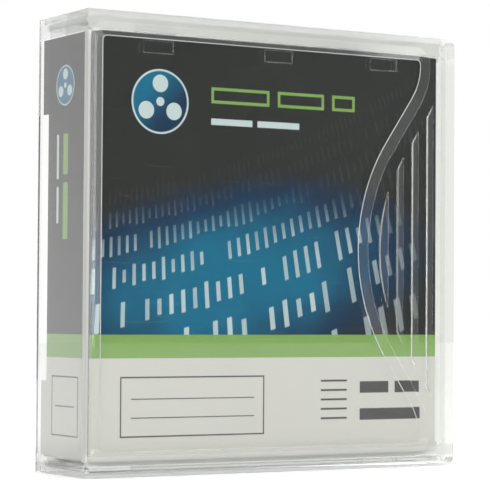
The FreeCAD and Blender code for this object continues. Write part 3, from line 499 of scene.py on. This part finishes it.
def stroke_rows(graph, across, up):
    """Curved rows of slanted strokes that shrink upwards.

    A row's level is -s ln(1 - h / d), where h is the distance in from a large circle, d is depth and s
    is shrink. Along a row the cells are half as long as the row is high, and noise values give each
    stroke its height and strength. The circle's middle lies up and to the left, so that the rows sweep
    up to the right."""
    middle_across, middle_up, radius = -95.0, 330.0, 300.0
    depth, shrink, first_row = 60.0, 5.5, 7.0
    slant, row_shift = 0.55, 0.37
    dx, dz = graph.math("SUBTRACT", across, middle_across), graph.math("SUBTRACT", middle_up, up)
    inwards = graph.math("SUBTRACT", radius, graph.distance(dx, dz))
    left_over = graph.math("MAXIMUM", graph.rest_of(graph.math("DIVIDE", inwards, depth)), 0.05)
    level = graph.math("MULTIPLY", graph.math("LOGARITHM", left_over, math.e), -shrink)
    row, in_row = graph.math("FLOOR", level), graph.math("FRACT", level)
    height = graph.math("EXPONENT", graph.math("MULTIPLY", row, -1 / shrink))
    height = graph.math("MULTIPLY", height, first_row)
    along = graph.math("MULTIPLY", graph.math("ARCTAN2", dx, dz), radius)
    cell = graph.math("DIVIDE", along, graph.math("MULTIPLY", height, 0.5))
    cell = graph.math("MULTIPLY_ADD", row, row_shift, cell)
    cell = graph.math("SUBTRACT", cell, graph.math("MULTIPLY", in_row, slant))

    key = graph.add("ShaderNodeCombineXYZ")
    graph.feed(key.inputs[0], graph.math("FLOOR", cell))
    graph.feed(key.inputs[1], row)
    chance = graph.add("ShaderNodeTexWhiteNoise", noise_dimensions="2D")
    graph.feed(chance.inputs["Vector"], key.outputs[0])
    hue = graph.add("ShaderNodeSeparateColor")
    graph.feed(hue.inputs[0], chance.outputs["Color"])
    tall = graph.math("MULTIPLY_ADD", hue.outputs[0], 0.22, 0.18)
    bright = graph.math("MULTIPLY_ADD", hue.outputs[1], 0.35, 0.65)
    kept = graph.ramp(chance.outputs["Value"], 0.9, 0.899)

    off_row = graph.math("ABSOLUTE", graph.math("SUBTRACT", in_row, 0.5))
    off_cell = graph.math("ABSOLUTE", graph.math("SUBTRACT", graph.math("FRACT", cell), 0.5))
    shape = graph.both(graph.ramp(graph.math("SUBTRACT", off_row, tall), 0.02, -0.02),
                       graph.ramp(off_cell, 0.19, 0.15), kept)
    fade = graph.both(graph.ramp(level, 4.6, 0.4), graph.ramp(across, 58.0, 6.0), graph.ramp(up, 72.0, 54.0))
    fade = graph.math("MULTIPLY_ADD", fade, 0.97, 0.02)
    return graph.both(shape, bright, fade, graph.ramp(level, 5.2, 4.6))


def glow_field(graph, place, x, z, looks):
    """Charcoal with a blue glow in it, as a colour.

    The glow is one less the squares of a and b in a leaning oval, where a and b are the ways across
    and up from its middle as shares of its half width and half height. A slow cloud breaks it up."""
    middle, half_width, half_height, lean, level = -14.0, 66.0, 27.5, 0.14, 50.0
    across = graph.math("DIVIDE", graph.math("SUBTRACT", x, middle), half_width)
    rise = graph.math("MULTIPLY_ADD", x, lean, level)
    up = graph.math("DIVIDE", graph.math("SUBTRACT", z, rise), half_height)
    oval = graph.math("SUBTRACT", 1.0, graph.squares(across, up), clamp=True)
    cloud = graph.math("MULTIPLY_ADD", graph.noise(place, 0.07, 2.0), 0.7, 0.62)
    glow = graph.math("MULTIPLY", oval, cloud, clamp=True)
    field = graph.blend(graph.ramp(glow, 0.02, 0.5), looks.charcoal, looks.navy)
    return graph.blend(graph.ramp(glow, 0.38, 1.0), field, looks.blue)


def printed_card(looks):
    """The card's print: charcoal over a blue glow, a green band and a pale foot, and a white inner side.

    On the front the fields run along X, and on the spine along Y; both share the heights."""
    material, graph, shader = new_material("printed card")
    place, (x, y, z) = graph.place()

    def reel(along, middle_along, middle_up, radius):
        across, up = graph.math("SUBTRACT", along, middle_along), graph.math("SUBTRACT", z, middle_up)
        return across, up, *reel_pictogram(graph, across, up, radius)

    front = graph.blend(stroke_rows(graph, x, z), glow_field(graph, place, x, z, looks), looks.light)
    front = graph.blend(outlines(graph, x, z, TITLE_BOXES, 0.75), front, looks.green)
    across, up, disc, holes = reel(x, *FRONT_REEL)
    badge = graph.blend(graph.ramp(graph.math("SUBTRACT", up, across), -7.0, 9.0), looks.navy, looks.blue)
    front = graph.blend(disc, front, badge)
    front = graph.blend(graph.either(bars(graph, x, z, SUBTITLE_BARS), holes), front, looks.light)

    spine = graph.blend(bars(graph, y, z, SPINE_GREEN_BARS), looks.charcoal, looks.green)
    spine = graph.blend(bars(graph, y, z, SPINE_LIGHT_BARS), spine, looks.light)
    _, _, disc, holes = reel(y, *SPINE_REEL)
    spine = graph.blend(holes, graph.blend(disc, spine, badge), looks.light)

    def ruled(across, box, lines):
        return graph.either(outlines(graph, across, z, (box,), 0.35), bars(graph, across, z, lines))

    front_ink = graph.either(ruled(x, FORM_BOX, FORM_LINES), bars(graph, x, z, INK_BLOCKS),
                             bars(graph, x, z, INK_TICKS))
    front_foot = graph.blend(front_ink, looks.pale, looks.ink)
    spine_foot = graph.blend(ruled(y, SPINE_BOX, SPINE_LINES), looks.pale, looks.ink)

    def stack(upper, lower):
        for height, over in ((looks.band_low / MM, looks.green), (looks.band_high / MM, upper)):
            lower = graph.blend(graph.ramp(z, height - 0.06, height + 0.06), lower, over)
        return lower

    on_spine = graph.ramp(x, -52.85, -52.95)
    printed = graph.blend(on_spine, stack(front, front_foot), stack(spine, spine_foot))
    specks = graph.add("ShaderNodeTexVoronoi")
    graph.feed(specks.inputs["Vector"], place)
    specks.inputs["Scale"].default_value = 0.13
    dust = graph.math("MULTIPLY", graph.ramp(specks.outputs["Distance"], 0.030, 0.018), 0.35)
    printed = graph.blend(dust, printed, looks.ink)
    inside = graph.both(graph.ramp(x, -52.98, -52.92), graph.ramp(y, -11.88, -11.82))
    graph.feed(shader.inputs["Base Color"], graph.blend(inside, printed, looks.inside))
    fibre = graph.noise(place, 6.0, 3.0)
    graph.feed(shader.inputs["Roughness"], graph.math("MULTIPLY_ADD", fibre, 0.12, 0.34))
    shader.inputs["Specular IOR Level"].default_value = 0.2
    bump(graph, shader, fibre, 0.002)
    return material


# ---------------------------------------------------------------- mesh helpers

def body_of(node):
    return next(name for name, members in frame["record"]["behaviour"]["bodies"].items() if node in members)


def new_piece(name, points, faces, material, body):
    mesh = bpy.data.meshes.new(name)
    mesh.from_pydata(points.tolist(), [], faces.tolist())
    mesh.polygons.foreach_set("use_smooth", np.ones(len(faces), dtype=bool))
    mesh.materials.append(material)
    piece = bpy.data.objects.new(name, mesh)
    bpy.context.scene.collection.objects.link(piece)
    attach(piece, body)
    return piece


def joined_mesh(node):
    """A moulding's mesh with its loose facets joined, to be freed by the caller."""
    shape = bmesh.new()
    shape.from_mesh(frame["nodes"][node].data)
    bmesh.ops.remove_doubles(shape, verts=shape.verts, dist=WELD)
    return shape


def clean_copy(node, material, edge=0.0, slopes=None):
    """A copy of a moulding with its facets joined, which stands for the node.

    Its edges are rounded by edge. Or else slopes holds the least and the most angle from straight in
    front of the faces that run smoothly on where they turn by less than 6 degrees, and the rest stay flat."""
    flat_turn, smooth_turn, rounded_turn = math.radians(0.6), math.radians(6), math.radians(25)
    shape = joined_mesh(node)
    if edge:
        bmesh.ops.dissolve_limit(
            shape, angle_limit=flat_turn, verts=shape.verts, edges=shape.edges, delimit={"NORMAL"})
    if slopes:
        low, high = (math.cos(slope) for slope in reversed(slopes))
        for line in shape.edges:
            line.smooth = (len(line.link_faces) == 2 and line.calc_face_angle(math.pi) < smooth_turn
                           and all(low < -face.normal.y < high for face in line.link_faces))
    mesh = bpy.data.meshes.new(node + "_fine")
    shape.to_mesh(mesh)
    shape.free()
    mesh.materials.clear()
    mesh.materials.append(material)
    mesh.polygons.foreach_set("material_index", np.zeros(len(mesh.polygons), dtype=np.int32))
    mesh.polygons.foreach_set("use_smooth", np.ones(len(mesh.polygons), dtype=bool))
    piece = bpy.data.objects.new(node + "_fine", mesh)
    bpy.context.scene.collection.objects.link(piece)
    if edge:
        bevel = piece.modifiers.new("Edges", "BEVEL")
        bevel.width, bevel.segments, bevel.limit_method = edge, 2, "ANGLE"
        bevel.angle_limit = rounded_turn
        bevel.harden_normals = True
    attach(piece, body_of(node))
    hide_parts(node)


def paint(material, *nodes):
    """Give the CAD nodes a material in every slot."""
    for name in nodes:
        mesh = frame["nodes"][name].data
        if not mesh.materials:
            mesh.materials.append(material)
        for index in range(len(mesh.materials)):
            mesh.materials[index] = material


def grid_faces(rows, columns):
    """Quads of a grid of points, row by row, whose last column joins the first."""
    i, j = np.meshgrid(np.arange(rows - 1), np.arange(columns), indexing="ij")
    k = (j + 1) % columns
    quads = np.stack([i * columns + j, i * columns + k, (i + 1) * columns + k, (i + 1) * columns + j], -1)
    return quads.reshape(-1, 4)


def rings(out, across, sides):
    """Rings of radius one, u cos a + v sin a, where u is a row of out and v the same row of across."""
    angle = np.linspace(0, 2 * np.pi, sides, endpoint=False)[None, :, None]
    return np.cos(angle) * out[:, None, :] + np.sin(angle) * across[:, None, :]


def helix_tube(centre, axis, radius, length, turns, wire):
    """A round wire of radius wire wound on a cylinder.

    The middle line is centre + radius (u cos a + v sin a) + axis length s, where a is the turn. s
    stays at each end for three quarters of a turn, so that the ends lie flat, and grows evenly
    between. The section is a circle across the line."""
    steps, flat_turns = 28, 0.75
    u = np.array((1.0, 0.0, 0.0))
    v = np.cross(axis, u)
    share = np.linspace(0.0, 1.0, int(turns * steps) + 1)
    turn = 2 * np.pi * turns * share
    flat = flat_turns / turns
    rise = np.clip((share - flat) / (1 - 2 * flat), 0.0, 1.0)
    out = np.cos(turn)[:, None] * u + np.sin(turn)[:, None] * v
    line = np.array(centre) + radius * out + axis * (wire + (length - 2 * wire) * rise)[:, None]
    along = np.gradient(line, axis=0)
    along /= np.linalg.norm(along, axis=1)[:, None]
    points = line[:, None, :] + wire * rings(out, np.cross(along, out), WIRE_SIDES)
    return points.reshape(-1, 3), grid_faces(len(share), WIRE_SIDES)


def cap_ends(piece, sides):
    """Close a tube's two ends, and turn every face outwards."""
    shape = bmesh.new()
    shape.from_mesh(piece.data)
    shape.verts.ensure_lookup_table()
    shape.faces.new(shape.verts[:sides])
    shape.faces.new(shape.verts[-sides:])
    bmesh.ops.recalc_face_normals(shape, faces=shape.faces)
    shape.to_mesh(piece.data)
    shape.free()


def highlight_rods(ends, ways, wire):
    """Fine pale rods along straight runs, just under a moulding's surface: painted highlights along its
    edges.

    A rod is a ring of points, wire (u cos a + v sin a), carried from one end of its run to the other,
    where u is the outward way that is square to the run and v is square to both."""
    sunk = 1.3
    along = ends[:, 1] - ends[:, 0]
    along /= np.linalg.norm(along, axis=1)[:, None]
    ways = ways - along * (ways * along).sum(1)[:, None]
    ways /= np.linalg.norm(ways, axis=1)[:, None]
    ring = wire * rings(ways, np.cross(along, ways), ROD_SIDES)
    middle = ends - sunk * wire * ways[:, None, :]
    points = middle[:, :, None, :] + ring[:, None, :, :]
    faces = grid_faces(2, ROD_SIDES)[None] + 2 * ROD_SIDES * np.arange(len(ends))[:, None, None]
    return points.reshape(-1, 3), faces.reshape(-1, 4)


def chosen_edges(node, chosen):
    """The ends of a moulding's chosen edges, and the outward way of each."""
    shape = joined_mesh(node)
    ends, ways = [], []
    for edge in shape.edges:
        if len(edge.link_faces) == 2:
            first, last = (np.array(vertex.co) for vertex in edge.verts)
            if chosen(first / MM, last / MM, math.degrees(edge.calc_face_angle_signed(0.0))):
                ends.append((first, last))
                ways.append(np.array(edge.link_faces[0].normal + edge.link_faces[1].normal))
    shape.free()
    return np.array(ends), np.array(ways)


def on_panel_edge(first, last, turn):
    """Whether an edge bounds the flat front panel, where the face turns gently down."""
    front = -13.98
    return max(first[1], last[1]) < front and 5 < turn < 20


def on_ridge(first, last, turn):
    """Whether an edge is a sharp one of the upright ridges at the lower right."""
    front, left, top, sharp = -13.4, 30.5, 102, 80
    return (max(first[1], last[1]) < front and turn > sharp
            and min(first[0], last[0]) > left and max(first[2], last[2]) < top)


def rail_highlight_runs():
    """The ends of the runs round the cover's two top rails, for painted highlight rods, and the outward way
    of each.
    """
    face, top, foot = -13.3, 111.9, 108.7
    runs = (((-42.1, top), (24.1, top)), ((24.1, top), (24.1, foot)),
            ((36.0, foot), (36.0, top)), ((36.0, top), (48.7, top)))
    ends = MM * np.array([[(across, face, up) for across, up in run] for run in runs])
    return ends, np.tile((0.0, -1.0, 0.0), (len(runs), 1))


# ---------------------------------------------------------------- the stage

def softbox(name, place, power):
    """A square lamp that faces the object's middle."""
    target, size = (0, 0, 0.05), 0.5
    light = bpy.data.lights.new(name, "AREA")
    light.shape, light.size, light.energy = "SQUARE", size, power
    lamp = bpy.data.objects.new(name, light)
    bpy.context.scene.collection.objects.link(lamp)
    lamp.location = place
    lamp.rotation_euler = (Vector(target) - Vector(place)).to_track_quat("-Z", "Y").to_euler()


def studio_world():
    """White to the eye; as light, bright behind, above and below, and dim in front.

    Mirrored rays find the front dimmer still, and matt surfaces get less light from the left. Glossy
    ones also see a strip straight in front, a strip and a wide panel at the front right, and a faint
    veil low down behind on the left."""
    world = bpy.data.worlds.new("Studio")
    world.use_nodes = True
    bpy.context.scene.world = world
    graph = Graph(world.node_tree)
    background = next(node for node in world.node_tree.nodes if node.type == "BACKGROUND")
    x, y, z = graph.parts(graph.add("ShaderNodeTexCoord").outputs["Generated"])
    path = graph.add("ShaderNodeLightPath").outputs
    mirrored = graph.mirrored(path)

    around = graph.either(graph.ramp(y, -0.2, 0.5), graph.ramp(z, 0.20, 0.34), graph.ramp(z, -0.20, -0.40))
    front = graph.math("MULTIPLY_ADD", mirrored, -0.20, 0.25)
    light = graph.math("MULTIPLY_ADD", around, graph.rest_of(front), front)
    dimmed = graph.both(graph.ramp(x, -0.4, -0.8), path["Is Diffuse Ray"])
    light = graph.math("MULTIPLY", light, graph.math("MULTIPLY_ADD", dimmed, -0.8, 1.0))

    turn = graph.math("ARCTAN2", x, graph.math("MULTIPLY", y, -1.0))

    def sector(start, full_from, full_to, end):
        """1 between two angles in degrees from straight in front towards the right, with soft sides."""
        return graph.both(graph.ramp(turn, math.radians(start), math.radians(full_from)),
                          graph.ramp(turn, math.radians(end), math.radians(full_to)))

    panel, right_strip, middle_strip = sector(49, 53, 80, 100), sector(38, 40, 49, 51), sector(-4, 3, 13, 19)
    veil = graph.both(graph.ramp(y, 0.3, 0.6), graph.ramp(x, -0.2, -0.4), graph.ramp(z, 0.13, -0.02))
    shine = graph.math("MULTIPLY", panel, 0.7)
    for mask, strength in ((right_strip, 5.0), (middle_strip, 3.8), (graph.both(veil, mirrored), 0.5)):
        shine = graph.math("MULTIPLY_ADD", mask, strength, shine)
    light = graph.math("MULTIPLY_ADD", shine, path["Is Glossy Ray"], light)
    graph.feed(background.inputs["Strength"], graph.math("MAXIMUM", light, path["Is Camera Ray"]))
    background.inputs["Color"].default_value = (1.0, 1.0, 1.0, 1.0)


def pale_floor(looks):
    """A pale floor with a slight weave, a little whiter to the eye.

    For mirrored rays it glows: painted pools of light at the object's foot and far behind it, which the
    plastic mirrors."""
    material, graph, shader = new_material("pale floor")
    place, (_, y, _) = graph.place()
    cloth = graph.noise(place, 0.8, 3.0)
    graph.feed(shader.inputs["Base Color"], graph.blend(cloth, looks.floor, looks.floor_light))
    graph.feed(shader.inputs["Roughness"], graph.math("MULTIPLY_ADD", cloth, 0.2, 0.5))
    shader.inputs["Emission Color"].default_value = (1.0, 1.0, 1.0, 1.0)
    path = graph.add("ShaderNodeLightPath").outputs
    foot = graph.both(graph.ramp(y, -70.0, -50.0), graph.ramp(y, 20.0, 0.0))
    behind = graph.ramp(y, 40.0, 160.0)
    # painted light: the floor glows for mirrored rays only, most at the object's foot
    mirrored_glow_pool = graph.math("MULTIPLY_ADD", foot, 1.6, graph.math("MULTIPLY", behind, 0.6))
    seen = graph.math("MULTIPLY", path["Is Camera Ray"], 0.25)
    graph.feed(shader.inputs["Emission Strength"],
               graph.math("MULTIPLY_ADD", graph.mirrored(path), mirrored_glow_pool, seen))
    return material


# ---------------------------------------------------------------- operators

class CARTRIDGE_OT_case(Operator):
    """Dress the clear cover and base of the case"""
    bl_idname = "cartridge.case"
    bl_label = "Clear Case"

    def execute(self, context):
        looks = context.scene.case_looks
        plastic = clear_plastic(looks)
        clean_copy("case_cover", plastic, slopes=(math.radians(8), math.radians(15)))
        paint(plastic, "case_base")
        # each set of painted highlight rods: its runs, its wire in millimetres and its brightness
        lines = {"panel_edge_highlight": (*chosen_edges("case_cover", on_panel_edge), 0.11, 1.0),
                 "ridge_edge_highlights": (*chosen_edges("case_cover", on_ridge), 0.09, 0.6),
                 "rail_edge_highlights": (*rail_highlight_runs(), 0.13, 1.35)}
        for name, (ends, ways, wire, brightness) in lines.items():
            points, faces = highlight_rods(ends, ways, wire * MM)
            finish = moulded(name.replace("_", " "), scaled(looks.pale, brightness), rough=0.2, grain=0.0)
            new_piece("case_" + name, points, faces, finish, "cover")
        return {"FINISHED"}


class CARTRIDGE_OT_card(Operator):
    """Print the folded inlay card"""
    bl_idname = "cartridge.card"
    bl_label = "Inlay Card"

    def execute(self, context):
        paint(printed_card(context.scene.card_looks), "inlay_card")
        return {"FINISHED"}


class CARTRIDGE_OT_shell(Operator):
    """Give the shell halves, door, tab and chip their moulded finishes"""
    bl_idname = "cartridge.shell"
    bl_label = "Shell and Door"

    def execute(self, context):
        looks = context.scene.cartridge_looks
        shell = moulded("spark-textured shell", looks.shell, 0.46, 0.006)
        for node in ("shell_upper", "shell_lower"):
            clean_copy(node, shell, edge=0.12 * MM)
        paint(moulded("door", looks.shell, 0.36, 0.01), "tape_door")
        paint(moulded("write tab", looks.tab, 0.34, 0.01), "write_protect_tab")
        paint(moulded("chip board", looks.board, 0.25, 0.005), "memory_chip")
        return {"FINISHED"}


class CARTRIDGE_OT_reel(Operator):
    """Finish the reel, its wound tape, the leader and the drive plate"""
    bl_idname = "cartridge.reel"
    bl_label = "Reel and Tape"

    def execute(self, context):
        looks = context.scene.cartridge_looks
        paint(moulded("reel", looks.reel, 0.38, 0.01), "reel_hub", "reel_flange", "pin_clip")
        low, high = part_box("tape_pack")
        centre = [(a + b) / 2 for a, b in zip(low, high)]
        paint(wound_tape(looks.tape, centre), "tape_pack", "leader_tape")
        paint(steel("drive plate", looks.steel, 0.3), "drive_plate", "leader_pin", "pin_spring")
        return {"FINISHED"}


class CARTRIDGE_OT_brake(Operator):
    """Finish the brake button, its release pad and the two coil springs"""
    bl_idname = "cartridge.brake"
    bl_label = "Brake and Springs"

    def execute(self, context):
        looks = context.scene.cartridge_looks
        paint(moulded("brake", looks.brake, 0.35, 0.01), "brake_button", "release_pad")
        steel_wire = steel("spring wire", looks.steel, 0.2)
        # each coil: its node, the joint that presses it, its axis, its turns and its wire's radius
        coils = (("door_spring", "door_slide", (0, 0, 1), looks.turns, 0.18 * MM),
                 ("brake_spring", "brake_slide", (0, 1, 0), looks.brake_turns, 0.3 * MM))
        for node, joint, axis, turns, wire in coils:
            low, high = (np.array(corner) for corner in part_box(node))
            axis = np.array(axis, float)
            size = high - low
            full = float(size @ axis)
            start = (low + high) / 2 - axis * size / 2
            points, faces = helix_tube(start, axis, size[0] / 2 - wire, full, turns, wire)
            piece = new_piece(node + "_wire", points, faces, steel_wire, body_of(node))
            cap_ends(piece, WIRE_SIDES)
            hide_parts(node)
            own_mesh(piece)
        return {"FINISHED"}


class CARTRIDGE_OT_screws(Operator):
    """Finish the four screws that hold the shell"""
    bl_idname = "cartridge.screws"
    bl_label = "Screws"

    def execute(self, context):
        paint(screw_steel(context.scene.cartridge_looks.steel, "shell_screws"), "shell_screws")
        return {"FINISHED"}


class CARTRIDGE_OT_stage(Operator):
    """Make the pale floor, the studio light and the camera"""
    bl_idname = "cartridge.stage"
    bl_label = "Stage"

    def execute(self, context):
        looks = context.scene.stage_looks
        reach = 2.0
        mesh = bpy.data.meshes.new("floor")
        mesh.from_pydata([(-reach, -reach, 0), (reach, -reach, 0), (reach, reach, 0), (-reach, reach, 0)],
                         [], [(0, 1, 2, 3)])
        mesh.materials.append(pale_floor(looks))
        floor = bpy.data.objects.new("floor", mesh)
        context.scene.collection.objects.link(floor)
        studio_world()
        softbox("Key", (-0.35, -0.75, 0.85), looks.key)
        softbox("Fill", (-1.0, 0.1, 0.5), looks.fill)
        data = bpy.data.cameras.new("Camera")
        data.lens, data.sensor_width = looks.lens, 36.0
        data.clip_start = 0.01
        camera = bpy.data.objects.new("Camera", data)
        context.scene.collection.objects.link(camera)
        camera.location = looks.camera
        aim = (Matrix.Rotation(looks.heading, 3, "Z") @ Matrix.Rotation(math.pi / 2 + looks.pitch, 3, "X")
               @ Matrix.Rotation(-looks.roll, 3, "Z"))
        camera.rotation_euler = aim.to_euler()
        context.scene.camera = camera
        context.scene.view_settings.view_transform = "Standard"
        return {"FINISHED"}


class CARTRIDGE_PT_panel(Panel):
    """Buttons for each group of pieces"""
    bl_label = "Cased Tape Cartridge"
    bl_idname = "CARTRIDGE_PT_panel"
    bl_space_type = "VIEW_3D"
    bl_region_type = "UI"
    bl_category = "Cartridge"

    def draw(self, context):
        for operator in OPERATORS:
            self.layout.operator(operator.bl_idname)


LOOKS = {"case_looks": CaseLooks, "card_looks": CardLooks, "cartridge_looks": CartridgeLooks,
         "stage_looks": StageLooks}
OPERATORS = (CARTRIDGE_OT_case, CARTRIDGE_OT_card, CARTRIDGE_OT_shell, CARTRIDGE_OT_reel,
             CARTRIDGE_OT_brake, CARTRIDGE_OT_screws, CARTRIDGE_OT_stage)


def register():
    for kind in (*LOOKS.values(), *OPERATORS, CARTRIDGE_PT_panel):
        bpy.utils.register_class(kind)
    for name, kind in LOOKS.items():
        setattr(bpy.types.Scene, name, PointerProperty(type=kind))


def unregister():
    for name in LOOKS:
        delattr(bpy.types.Scene, name)
    for kind in reversed((*LOOKS.values(), *OPERATORS, CARTRIDGE_PT_panel)):
        bpy.utils.unregister_class(kind)


def main():
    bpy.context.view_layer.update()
    register()
    for operator in OPERATORS:
        group, name = operator.bl_idname.split(".")
        getattr(getattr(bpy.ops, group), name)()


if __name__ == "__main__":
    main()
